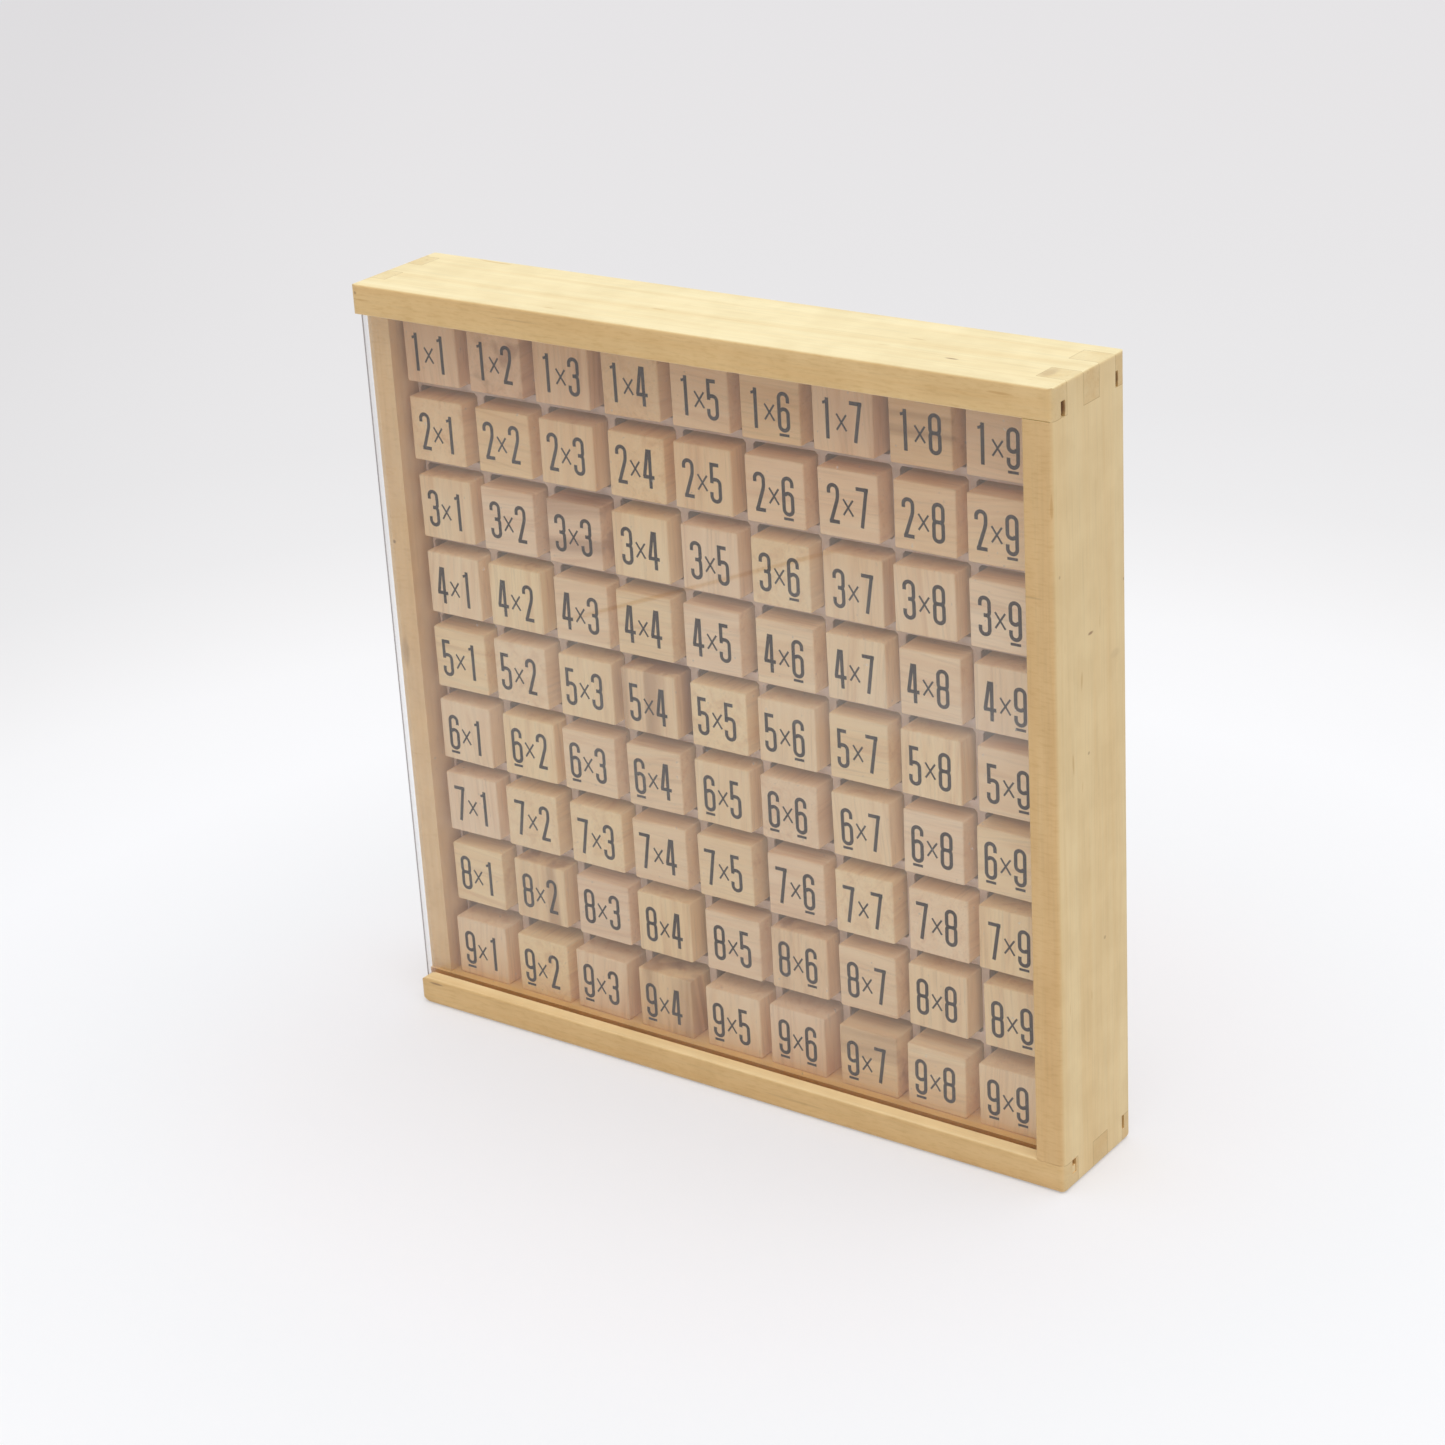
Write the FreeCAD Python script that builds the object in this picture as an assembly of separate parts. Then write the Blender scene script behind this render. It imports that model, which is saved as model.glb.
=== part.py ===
import FreeCAD, Part
import math
import os

# A shallow wooden box that stands on its long edge. Four finger-jointed boards hold a back
# panel, a clear lid that slides out over the low left board, a clear formed tray with nine
# rows of nine cells, and a wooden cube in every cell.
# X runs to the right, Y from the front to the back and Z up. The origin is the middle of
# the box's foot, and every size is in millimetres.

# Box
box_width = 180.0
box_height = 180.0
box_depth = 29.0
board_thick = 7.0
mouth_board_thick = 6.0

# Finger joints, counted from the front face: board, side, board, side, board
front_finger = 5.9
back_finger = 4.0

# Grooves that the lid and the back panel run in
groove_deep = 3.4
mouth_groove_deep = 2.8
lid_groove_front = 3.4
lid_groove_wide = 1.6
back_groove_front = 23.8
back_groove_wide = 2.2

# Sanded edges. The top board's were sanded less than the others
edge_round = 1.4
top_edge_round = 0.6
foot_end_round = 3.0
top_end_round = 2.0
end_corner_round = 2.6
lip_arris = 0.5
top_lip_end_round = 1.0
foot_lip_end_round = 3.2

# Lid and back panel. The lid passes the left board's front edge with a little room
lid_thick = 1.3
lid_end_gap = 0.1
lid_passing_gap = 0.6
lid_corner = 1.0
panel_thick = 2.0
groove_play = 0.2

# Cubes and the cells that hold them
rows = 9
columns = 9
cube_side = 15.0
cube_arris = 0.6
cell_side = 16.6
column_pitch = 18.4
row_pitch = 18.56
cube_proud = 4.6
cube_floor_gap = 0.1

# How the loose cubes lie: each has slid a little to one side of its cell, and the bottom row,
# which stands on the board, has come forward
slide_reach = 0.5
slide_turn = 1.86
foot_row_forward = 1.4

# Formed tray. It is trimmed open at the foot, so the bottom row stands on the board
sheet_thick = 0.5
tray_side_gap = 0.8
tray_rim = 0.5
tray_foot = 0.35
wall_draft = math.radians(1.5)
cell_corner = 0.7

# Places that follow from the sizes above
left = -box_width / 2
right = box_width / 2
front = -box_depth / 2
back = box_depth / 2
inner_left = left + mouth_board_thick
inner_right = right - board_thick
inner_foot = board_thick
inner_top = box_height - board_thick
lid_groove_back = front + lid_groove_front + lid_groove_wide
panel_groove_start = front + back_groove_front
panel_groove_end = panel_groove_start + back_groove_wide
finger = (box_depth - front_finger - back_finger) / 3
side_fingers = [front + front_finger, front + front_finger + 2 * finger]
tray_back = panel_groove_start + (back_groove_wide - panel_thick) / 2
cell_floor = tray_back - sheet_thick
cube_back = cell_floor - cube_floor_gap
cube_front = cube_back - cube_side
tray_front = cube_front + cube_proud
cell_deep = cell_floor - tray_front
wall_lean = cell_deep * math.tan(wall_draft)
tray_left = inner_left + tray_side_gap
tray_wide = (columns - 1) * column_pitch + cell_side + 2 * tray_rim
tray_high = tray_foot + (rows - 1) * row_pitch + cell_side + tray_rim


def block(x0, x1, y0, y1, z0, z1):
    """A box between two corners."""
    return Part.makeBox(x1 - x0, y1 - y0, z1 - z0, FreeCAD.Vector(x0, y0, z0))


def edges_at(shape, x=None, y=None, z=None):
    """The straight edges whose ends both lie at the given coordinates."""
    found = []
    for edge in shape.Edges:
        ends = [vertex.Point for vertex in edge.Vertexes]
        near_x = x is None or all(abs(end.x - x) < 1e-6 for end in ends)
        near_y = y is None or all(abs(end.y - y) < 1e-6 for end in ends)
        near_z = z is None or all(abs(end.z - z) < 1e-6 for end in ends)
        if near_x and near_y and near_z:
            found.append(edge)
    return found


def rounded_block(low, high, end_z, end_round, rim_round):
    """A block of the box's width and depth. At end_z its left edge gets a large round and its
    right edge a small one, which then also runs round the front and the back face."""
    solid = block(left, right, front, back, low, high)
    solid = solid.makeFillet(end_round, edges_at(solid, x=left, z=end_z))
    solid = solid.makeFillet(rim_round, edges_at(solid, x=right, z=end_z))
    rims = [edge for edge in solid.Edges if on_plane(edge, front) or on_plane(edge, back)]
    return solid.makeFillet(rim_round, rims)


def sanded_blank():
    """The outer form of the glued-up box: what three blocks have in common, one with a soft
    foot and soft sides, one with a crisper top, and one with round corners at the left end."""
    soft = rounded_block(0, 2 * box_height, 0, foot_end_round, edge_round)
    crisp = rounded_block(-box_height, box_height, box_height, top_end_round, top_edge_round)
    plan = block(left, right, front, back, 0, box_height)
    left_corners = edges_at(plan, x=left, y=front) + edges_at(plan, x=left, y=back)
    plan = plan.makeFillet(end_corner_round, left_corners)
    return soft.common(crisp).common(plan)


def on_plane(edge, y):
    """Whether an edge, straight or curved, lies in the plane at depth y."""
    points = [edge.valueAt(edge.FirstParameter), edge.valueAt(edge.LastParameter)]
    return all(abs(point.y - y) < 1e-6 for point in points)


def finger_blocks(x0, x1, z0, z1):
    """The two fingers of a side board inside the given X and Z span."""
    return [block(x0, x1, y, y + finger, z0, z1) for y in side_fingers]


def corner_cutter(x, z, radius, toward_z):
    """What rounding removes from the left end of a lip, at the corner between the end
    and the lip's inner face. toward_z is 1 where the wood lies above the corner."""
    low, high = sorted((z, z + toward_z * radius))
    square = block(x, x + radius, front, lid_groove_back, low, high)
    centre = FreeCAD.Vector(x + radius, front, z + toward_z * radius)
    round_end = Part.makeCylinder(radius, box_depth, centre, FreeCAD.Vector(0, 1, 0))
    return square.cut(round_end)


def long_board(z0, z1, inner_z, blank, lip_end_round):
    """The top or the bottom board: fingers at both ends, and both grooves from end to end."""
    toward_wood = 1 if inner_z == z0 else -1
    groove_floor = inner_z + toward_wood * groove_deep
    low, high = sorted((inner_z, groove_floor))
    board = block(left, right, front, back, z0, z1)
    board = board.makeFillet(lip_arris, edges_at(board, y=front, z=inner_z))
    notches = finger_blocks(inner_right, right, z0, z1) + finger_blocks(left, inner_left, z0, z1)
    lid_groove = block(left, right, front + lid_groove_front, lid_groove_back, low, high)
    panel_groove = block(left, right, panel_groove_start, panel_groove_end, low, high)
    lip_end = corner_cutter(left, inner_z, lip_end_round, toward_wood)
    board = board.cut(notches + [lid_groove, panel_groove, lip_end])
    return board.common(blank)


def right_board(blank):
    """The closed side: a plain run between its neighbours, two fingers at each end, the
    lid's groove from end to end and the panel's groove stopped inside the fingers."""
    board = block(inner_right, right, front, back, inner_foot, inner_top)
    board = board.makeFillet(lip_arris, edges_at(board, x=inner_right, y=front))
    board = board.fuse(finger_blocks(inner_right, right, 0, box_height)).removeSplitter()
    groove_end = inner_right + groove_deep
    lid_groove = block(inner_right, groove_end, front + lid_groove_front, lid_groove_back,
                       inner_foot, inner_top)
    panel_groove = block(inner_right, groove_end, panel_groove_start, panel_groove_end,
                         inner_foot - groove_deep, inner_top + groove_deep)
    return board.cut([lid_groove, panel_groove]).common(blank)


def left_board(blank):
    """The thinner side that the lid slides over: its front edge lies a little behind the
    lid's groove, so the lid passes in front of it."""
    front_edge = lid_groove_back + lid_passing_gap
    board = block(left, inner_left, front_edge, back, inner_foot, inner_top)
    board = board.fuse(finger_blocks(left, inner_left, 0, box_height)).removeSplitter()
    panel_groove = block(inner_left - mouth_groove_deep, inner_left, panel_groove_start,
                         panel_groove_end, inner_foot - groove_deep, inner_top + groove_deep)
    return board.cut(panel_groove).common(blank)


def back_panel():
    """A thin panel let into all four boards."""
    x0 = inner_left - mouth_groove_deep + groove_play
    x1 = inner_right + groove_deep - groove_play
    z0 = inner_foot - groove_deep + groove_play
    z1 = inner_top + groove_deep - groove_play
    return block(x0, x1, tray_back, tray_back + panel_thick, z0, z1)


def sliding_lid():
    """A clear sheet with rounded corners. Its left end is nearly flush with the box."""
    y0 = front + lid_groove_front + (lid_groove_wide - lid_thick) / 2
    x1 = inner_right + groove_deep - groove_play
    z0 = inner_foot - groove_deep + groove_play
    z1 = inner_top + groove_deep - groove_play
    lid = block(left + lid_end_gap, x1, y0, y0 + lid_thick, z0, z1)
    corners = [edge for edge in lid.Edges if abs(edge.Length - lid_thick) < 1e-6]
    return lid.makeFillet(lid_corner, corners)


def cell_corner_of(row, column):
    """The lower left corner of a cell's mouth. Row 1 is the top row, column 1 the left."""
    x = tray_left + tray_rim + (column - 1) * column_pitch
    z = inner_foot + tray_foot + (rows - row) * row_pitch
    return x, z


def cell_pocket():
    """The space inside one cell, narrower at its floor, with a narrow flat down each corner."""
    pocket = Part.makeWedge(0, tray_front, 0, wall_lean, wall_lean, cell_side, cell_floor,
                            cell_side, cell_side - wall_lean, cell_side - wall_lean)
    slanted = [edge for edge in pocket.Edges
               if abs(edge.Vertexes[0].Point.y - edge.Vertexes[1].Point.y) > 1]
    return pocket.makeChamfer(cell_corner, slanted)


def foot_opening():
    """What trimming the sheet takes from under a cell of the bottom row: the lower wall, as
    wide as the pocket is at every depth."""
    return Part.makeWedge(0, tray_front, -tray_foot, -tray_foot, wall_lean, cell_side, cell_floor,
                          cell_side / 2, cell_side / 2, cell_side - wall_lean)


def ridge_channel(length, pitch):
    """The hollow behind one ridge of the formed sheet, running along X from the origin."""
    crest = (pitch - cell_side) / 2 - sheet_thick
    mouth = crest + wall_lean
    outline = [(tray_back, -mouth), (tray_back, mouth),
               (tray_front + sheet_thick, crest), (tray_front + sheet_thick, -crest)]
    corners = [FreeCAD.Vector(0, y, z) for y, z in outline]
    face = Part.Face(Part.makePolygon(corners + corners[:1]))
    return face.extrude(FreeCAD.Vector(length, 0, 0))


def cell_tray():
    """One clear sheet formed into nine rows of nine pockets. The ridges between the pockets
    are folds of the same sheet, so they are hollow from behind."""
    tray = block(tray_left, tray_left + tray_wide, tray_front, tray_back,
                 inner_foot, inner_foot + tray_high)
    pocket = cell_pocket()
    pockets = []
    for row in range(1, rows + 1):
        for column in range(1, columns + 1):
            x, z = cell_corner_of(row, column)
            pockets.append(pocket.translated(FreeCAD.Vector(x, 0, z)))
            if row == rows:
                pockets.append(foot_opening().translated(FreeCAD.Vector(x, 0, z)))
    level = ridge_channel(tray_wide - 2 * sheet_thick, row_pitch)
    upright = ridge_channel(tray_high - 2 * sheet_thick, column_pitch)
    upright.rotate(FreeCAD.Vector(0, 0, 0), FreeCAD.Vector(0, 1, 0), -90)
    channels = []
    for row in range(1, rows):
        z = cell_corner_of(row, 1)[1] - (row_pitch - cell_side) / 2
        channels.append(level.translated(FreeCAD.Vector(tray_left + sheet_thick, 0, z)))
    for column in range(2, columns + 1):
        x = cell_corner_of(1, column)[0] - (column_pitch - cell_side) / 2
        channels.append(upright.translated(FreeCAD.Vector(x, 0, inner_foot + sheet_thick)))
    lattice = channels[0].fuse(channels[1:]).removeSplitter()
    return tray.cut(pockets).cut(lattice)


def cube():
    """One wooden cube with its twelve edges eased, its lower left front corner at 0."""
    body = Part.makeBox(cube_side, cube_side, cube_side)
    return body.makeChamfer(cube_arris, body.Edges)


def slide(row, column):
    """How far one cube has slid along its cell, to the left or the right of the middle."""
    turn = slide_turn * (columns * row + column) ** 2
    return slide_reach * math.sin(turn)


def cube_row(row):
    """Nine cubes in one row of cells, each resting on the leaning lower wall of its cell, or
    in the bottom row on the board."""
    model = cube()
    seat_depth = cube_back - cube_arris - tray_front
    seat_rise = seat_depth * math.tan(wall_draft)
    side_gap = (cell_side - cube_side) / 2
    cubes = []
    for column in range(1, columns + 1):
        x, z = cell_corner_of(row, column)
        x += side_gap + slide(row, column)
        place = FreeCAD.Vector(x, cube_front, z + seat_rise)
        if row == rows:
            place = FreeCAD.Vector(x, cube_front - foot_row_forward, inner_foot)
        cubes.append(model.translated(place))
    return Part.makeCompound(cubes)


def save(name, shape):
    """Write one node and say how many solids it has."""
    shape.exportStep("parts/" + name + ".step")
    print(name, len(shape.Solids), "solids", round(shape.Volume, 1), "mm3", shape.isValid())


os.makedirs("parts", exist_ok=True)
envelope = sanded_blank()
save("top_board", long_board(inner_top, box_height, inner_top, envelope, top_lip_end_round))
save("bottom_board", long_board(0, inner_foot, inner_foot, envelope, foot_lip_end_round))
save("right_board", right_board(envelope))
save("left_board", left_board(envelope))
save("back_panel", back_panel())
save("sliding_lid", sliding_lid())
save("cell_tray", cell_tray())
for row_number in range(1, rows + 1):
    save("cubes_row_" + str(row_number), cube_row(row_number))
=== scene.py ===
# %% [markdown]
# A shallow wooden box that stands on its long edge. Behind its clear sliding lid lie nine rows of
# nine small wooden cubes, and each cube is printed with one product, from 1×1 to 9×9. The wooden
# boards, the panel, the lid and the clear tray are already modelled and come in as the frame. This
# lesson gives them their finish, replaces the plain cubes by eased ones with grain of their own,
# prints the figures, and sets the floor, the light and the camera.

# %% Load the frame
import math
import random

import bpy
from mathutils import Matrix, Vector


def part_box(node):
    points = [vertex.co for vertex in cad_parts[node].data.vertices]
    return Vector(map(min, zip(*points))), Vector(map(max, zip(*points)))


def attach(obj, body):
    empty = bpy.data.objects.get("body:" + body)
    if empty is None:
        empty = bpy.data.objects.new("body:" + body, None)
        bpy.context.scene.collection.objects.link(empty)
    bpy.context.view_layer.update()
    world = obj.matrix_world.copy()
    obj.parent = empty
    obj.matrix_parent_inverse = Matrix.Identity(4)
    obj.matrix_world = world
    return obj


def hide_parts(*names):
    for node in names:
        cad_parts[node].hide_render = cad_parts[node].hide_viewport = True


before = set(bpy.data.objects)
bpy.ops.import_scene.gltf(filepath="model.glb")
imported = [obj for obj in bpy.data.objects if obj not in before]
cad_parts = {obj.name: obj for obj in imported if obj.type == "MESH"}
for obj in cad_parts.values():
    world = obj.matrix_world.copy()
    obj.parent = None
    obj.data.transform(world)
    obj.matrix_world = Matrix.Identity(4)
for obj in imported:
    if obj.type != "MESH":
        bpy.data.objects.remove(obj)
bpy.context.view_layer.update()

MM = 0.001

# %% [markdown]
# The camera stands to the right of the box and a little above it. Its place was worked out from the
# corners of the box, so it is written as a photographer would set it: how far round, how high, how
# far off, and how much the picture leans.

# %% Camera
camera_turn = math.radians(36.62)
camera_height = math.radians(23.09)
camera_lean = math.radians(-3.41)
camera_distance = 717.4 * MM
camera_aim = Vector((6.52, -14.5, 93.23)) * MM

away = Vector((math.sin(camera_turn) * math.cos(camera_height),
               -math.cos(camera_turn) * math.cos(camera_height),
               math.sin(camera_height)))
level = (-away).cross(Vector((0, 0, 1))).normalized()
upright = level.cross(-away)
side = math.cos(camera_lean) * level + math.sin(camera_lean) * upright
rise = -math.sin(camera_lean) * level + math.cos(camera_lean) * upright

camera_data = bpy.data.cameras.new("studio_camera")
camera_data.sensor_width = 36
camera_data.lens = 82.59
camera_data.clip_start = 0.01
camera_data.clip_end = 50
camera = bpy.data.objects.new("studio_camera", camera_data)
bpy.context.collection.objects.link(camera)
turned = Matrix((side, rise, away)).transposed().to_4x4()
camera.matrix_world = Matrix.Translation(camera_aim + camera_distance * away) @ turned
bpy.context.scene.camera = camera
bpy.context.scene.view_settings.view_transform = "Standard"
print("the camera looks from", [round(v / MM) for v in camera.location], "mm")

# %% [markdown]
# A finish is a material made of nodes. A few short helpers keep the cells readable. One starts a
# finish. One adds a node and sets whatever is named after it, either a setting of the node or the
# value of one of its sockets. One feeds a socket, from another socket or with a plain value. The
# rest take a vector apart, do sums with numbers, and turn a number into a soft step.

# %% Helpers for nodes
def start_finish(name):
    """A new material with an empty Principled shader. Returns it with its node tree and shader."""
    material = bpy.data.materials.new(name)
    material.use_nodes = True
    tree = material.node_tree
    return material, tree, tree.nodes["Principled BSDF"]


def add(tree, kind, **values):
    """Adds a node. A value goes to the setting of that name, or else to the socket."""
    made = tree.nodes.new(kind)
    for key, value in values.items():
        if hasattr(made, key):
            setattr(made, key, value)
        else:
            made.inputs[key.replace("_", " ")].default_value = value
    return made


def join(tree, source, target):
    tree.links.new(source, target)


def feed(tree, value, target):
    """Gives a socket its value: another socket, a plain number or a colour of three parts."""
    if isinstance(value, bpy.types.NodeSocket):
        join(tree, value, target)
    elif isinstance(value, tuple):
        target.default_value = (*value, 1)
    else:
        target.default_value = value


def split(tree, source):
    """The parts of a vector, to be asked for as X, Y and Z or by number."""
    made = add(tree, "ShaderNodeSeparateXYZ")
    join(tree, source, made.inputs[0])
    return made.outputs


def reckon(tree, operation, *values):
    """One sum with numbers. Each value is a socket or a plain number."""
    made = add(tree, "ShaderNodeMath", operation=operation)
    for socket, value in zip(made.inputs, values):
        feed(tree, value, socket)
    return made.outputs[0]


def slope(tree, source, low, high):
    """0 where source is at low, 1 where it is at high, and smooth between."""
    made = add(tree, "ShaderNodeMapRange", interpolation_type="SMOOTHSTEP", From_Min=low, From_Max=high)
    join(tree, source, made.inputs["Value"])
    return made.outputs["Result"]


# %% [markdown]
# The other helpers each stand for a few nodes that are wanted again and again: patterns, mixed
# colours, relief and layers of shaders.

# %% Helpers for patterns and layers
def ramp(tree, source, *stops):
    """A colour ramp driven by source. Each stop is (place, colour)."""
    made = tree.nodes.new("ShaderNodeValToRGB")
    band = made.color_ramp
    while len(band.elements) < len(stops):
        band.elements.new(0.5)
    for element, (place, colour) in zip(band.elements, stops):
        element.position = place
        element.color = (*colour, 1) if len(colour) == 3 else colour
    join(tree, source, made.inputs["Fac"])
    return made.outputs["Color"]


def grey(value):
    return (value, value, value)


def scaled(tree, source, scale, shift=(0, 0, 0)):
    """The coordinates in source, stretched by scale."""
    made = add(tree, "ShaderNodeMapping", Scale=scale, Location=shift)
    join(tree, source, made.inputs["Vector"])
    return made.outputs["Vector"]


def noise(tree, source, scale=1.0, detail=3.0, roughness=0.5, distortion=0.0):
    made = add(tree, "ShaderNodeTexNoise", Scale=scale, Detail=detail, Roughness=roughness,
               Distortion=distortion)
    join(tree, source, made.inputs["Vector"])
    return made.outputs["Fac"]


def mixed(tree, share, first, second, blend="MIX"):
    """Two colours mixed. share, first and second are each a socket or a plain value."""
    made = add(tree, "ShaderNodeMix", data_type="RGBA", blend_type=blend)
    for number, value in ((0, share), (6, first), (7, second)):
        feed(tree, value, made.inputs[number])
    return made.outputs[2]


def relief(tree, shader, height, distance, strength=1.0):
    """Bump from a height, in metres, on a shader."""
    made = add(tree, "ShaderNodeBump", Strength=strength, Distance=distance)
    join(tree, height, made.inputs["Height"])
    join(tree, made.outputs["Normal"], shader.inputs["Normal"])


def layered(tree, share, below, above):
    """Two shaders mixed: the one below where share is 0, the one above where it is 1."""
    made = tree.nodes.new("ShaderNodeMixShader")
    feed(tree, share, made.inputs["Fac"])
    join(tree, below.outputs[0], made.inputs[1])
    join(tree, above.outputs[0], made.inputs[2])
    return made


def looked_at(tree):
    """1 for rays that look: from the camera, off something glossy or through something clear."""
    path = add(tree, "ShaderNodeLightPath").outputs
    looks = reckon(tree, "MAXIMUM", path["Is Camera Ray"], path["Is Glossy Ray"])
    return reckon(tree, "MAXIMUM", looks, path["Is Transmission Ray"])


# %% [markdown]
# The boards are a pale, close-grained wood, sanded and left bare. The contrast is low, as it is in
# birch or maple. Broad bands from the growth rings and fine fibres between them make the grain, and
# most of the life comes from a soft mottle and a few short dark flecks. Each is plain noise. All but
# the mottle are stretched along the board, so one function serves every board and only the direction
# of the grain differs.

# %% Grain of the boards
BOARD_PALE = (0.905, 0.74, 0.445)
BOARD_MID = (0.88, 0.70, 0.405)
BOARD_DEEP = (0.85, 0.65, 0.355)
RING_PER_METRE = 210
FIBRE_PER_METRE = 1500
FLECK_PER_METRE = 420
MOTTLE_PER_METRE = 120
ALONG_SHARE = 0.035
FLECK_SHARE = 0.16
FIBRE_SHADE = grey(0.84)
MOTTLE_SHADE = (0.945, 0.93, 0.905)
FLECK_SHADE = (0.86, 0.79, 0.70)


def along_board(tree, place, per_metre, along, shift, share=ALONG_SHARE):
    """The board's coordinates, finer across the fibres than along them."""
    stretch = [per_metre] * 3
    stretch[along] *= share
    return scaled(tree, place.outputs["Object"], stretch, shift)


def board_grain(tree, place, along, shift):
    """The colour of the sanded wood, and the height of its fibres."""
    rings = noise(tree, along_board(tree, place, RING_PER_METRE, along, shift), detail=4,
                  roughness=0.55, distortion=0.6)
    fibres = noise(tree, along_board(tree, place, FIBRE_PER_METRE, along, shift), detail=3,
                   roughness=0.65)
    flecks = noise(tree, along_board(tree, place, FLECK_PER_METRE, along, shift, FLECK_SHARE),
                   detail=1)
    mottle = noise(tree, place.outputs["Object"], scale=MOTTLE_PER_METRE, detail=3)
    colour = ramp(tree, rings, (0.30, BOARD_DEEP), (0.48, BOARD_MID), (0.66, BOARD_PALE))
    shades = [(0.35, ramp(tree, fibres, (0.30, FIBRE_SHADE), (0.52, grey(1.0)))),
              (1.0, ramp(tree, mottle, (0.36, MOTTLE_SHADE), (0.62, grey(1.0)))),
              (1.0, ramp(tree, flecks, (0.225, FLECK_SHADE), (0.262, grey(1.0))))]
    for share, shade in shades:
        colour = mixed(tree, share, colour, shade, "MULTIPLY")
    height = reckon(tree, "ADD", fibres, reckon(tree, "MULTIPLY", rings, 0.5))
    return colour, height


# %% [markdown]
# Each face of a board gets a tint of its own. The faces that look up at the head are paler and less
# yellow, a painted highlight where the lamp falls full on them. The narrow front edges are deeper in
# colour, each board's by a tone of its own, as painted shade in warm light bounced from wood, and they
# show faint saw marks. The faces that look sideways get a painted shade of their own. The floor inside
# the box is seen in light that has bounced from wood to wood, so it is more orange than the lips before
# and behind it, and the grooves of the lid are deepest and most orange, with painted shade in them.
# Where the fingers of two boards meet, the end grain drinks more light and a thin dark line of glue
# shows. A shader can tell all these apart by the direction of the face and by its place.

# %% Faces of the boards
# painted highlight: faces that look up at the head are made paler and less yellow, as where the lamp
# falls full on them
PAINTED_TOP_HIGHLIGHT = (1.05, 1.12, 1.15)
# painted shade: front faces made deeper and warmer, each board's by a tone of its own, as in warm light
# bounced from wood
FRONT_SHADE_TONES = {"top_board": (0.92, 0.79, 0.63), "bottom_board": (0.89, 0.755, 0.60),
              "right_board": (0.865, 0.725, 0.58), "left_board": (0.99, 0.86, 0.77)}
# painted shade: faces that look sideways get a tone for how the light falls on them; the left board's,
# whose inner face lies in the box's shade, is pinker
SIDE_SHADE_TONE = (0.93, 0.89, 0.83)
SIDE_SHADE_TONES = {"left_board": (0.97, 0.855, 0.84)}
END_TONE = (0.93, 0.90, 0.86)
BOUNCE_TONE = (1.08, 0.90, 0.70)
LIP_TONE = (1.06, 1.0, 0.94)
LIP_BACK = -11.1 * MM
PANEL_FRONT = 9.3 * MM
HEAD_FROM = 170 * MM
HEAD_TO = 172 * MM
FOOT_FROM = 12 * MM
FOOT_TO = 10 * MM
# painted shade: faces inside the lid's groove are made deeper and more orange, as in a recess
GROOVE_SHADE_TONE = (1.0, 0.72, 0.45)
GROOVE_MIDDLE = -10.3 * MM
GROOVE_HALF = 0.85 * MM
GROOVE_FROM_CENTRE = 84.75 * MM
GROOVE_DEPTH_HALF = 1.7 * MM
GROOVE_END = 88 * MM
MID_HEIGHT = 90 * MM
GLUE_TONE = (0.72, 0.68, 0.62)
FINGER_EDGES = [-8.6 * MM, -2.23 * MM, 4.13 * MM, 10.5 * MM]
FINGER_ROOTS = {0: [7 * MM, 173 * MM], 2: [83 * MM, -84 * MM]}
GLUE_HALF = 0.13 * MM
SAW_TEETH = (300, 1, 1700)
SAW_SLANT = math.radians(9)
SAW_SHADE = (0.93, 0.90, 0.85)


def tinted(tree, share, colour, tint):
    """The colour, multiplied by a tint where share is 1."""
    return mixed(tree, share, colour, mixed(tree, 1.0, colour, tint, "MULTIPLY"))


def any_near(tree, coordinate, spots, half):
    """1 where the coordinate is within half a line's width of one of the spots."""
    lines = [reckon(tree, "COMPARE", coordinate, spot, half) for spot in spots]
    total = lines[0]
    for line in lines[1:]:
        total = reckon(tree, "MAXIMUM", total, line)
    return total


def glue_lines(tree, where, along, end_cut):
    """The thin lines round a finger's end."""
    sides = any_near(tree, where["Y"], FINGER_EDGES, GLUE_HALF)
    root = any_near(tree, where[2 - along], FINGER_ROOTS[along], GLUE_HALF)
    return reckon(tree, "MULTIPLY", reckon(tree, "MAXIMUM", sides, root), end_cut)


def lid_groove(tree, where):
    """1 inside the lid's groove at the head or at the foot."""
    across = reckon(tree, "COMPARE", where["Y"], GROOVE_MIDDLE, GROOVE_HALF)
    before_end = reckon(tree, "LESS_THAN", where["X"], GROOVE_END)
    out = reckon(tree, "ABSOLUTE", reckon(tree, "SUBTRACT", where["Z"], MID_HEIGHT))
    in_depth = reckon(tree, "COMPARE", out, GROOVE_FROM_CENTRE, GROOVE_DEPTH_HALF)
    return reckon(tree, "MULTIPLY", reckon(tree, "MULTIPLY", across, before_end), in_depth)


def saw_marks(tree, place):
    """Fine marks across a front edge, nearly level."""
    turned = add(tree, "ShaderNodeMapping", Rotation=(0, SAW_SLANT, 0), Scale=SAW_TEETH)
    join(tree, place.outputs["Object"], turned.inputs["Vector"])
    return ramp(tree, noise(tree, turned.outputs["Vector"], detail=3, roughness=0.6),
                (0.33, SAW_SHADE), (0.5, grey(1.0)))


# %% [markdown]
# A few marks make these boards the ones they are: a small knot, a nick and a crack at the end of a
# board. The same soft darkening also stands inside the holes where the grooves run out, as painted
# shade. Each is a soft-edged ellipsoid in the wood, given by its middle, its reach and how dark it is,
# so it cuts the surface as a real knot does.

# %% Marks in the boards
# a dark brown for knots, nicks and cracks, and for the painted shade in the holes of the grooves
MARK_AND_SHADE_TONE = (0.30, 0.165, 0.085)
MARK_RIM = 1.25
MARK_HEART = 0.45


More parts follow.
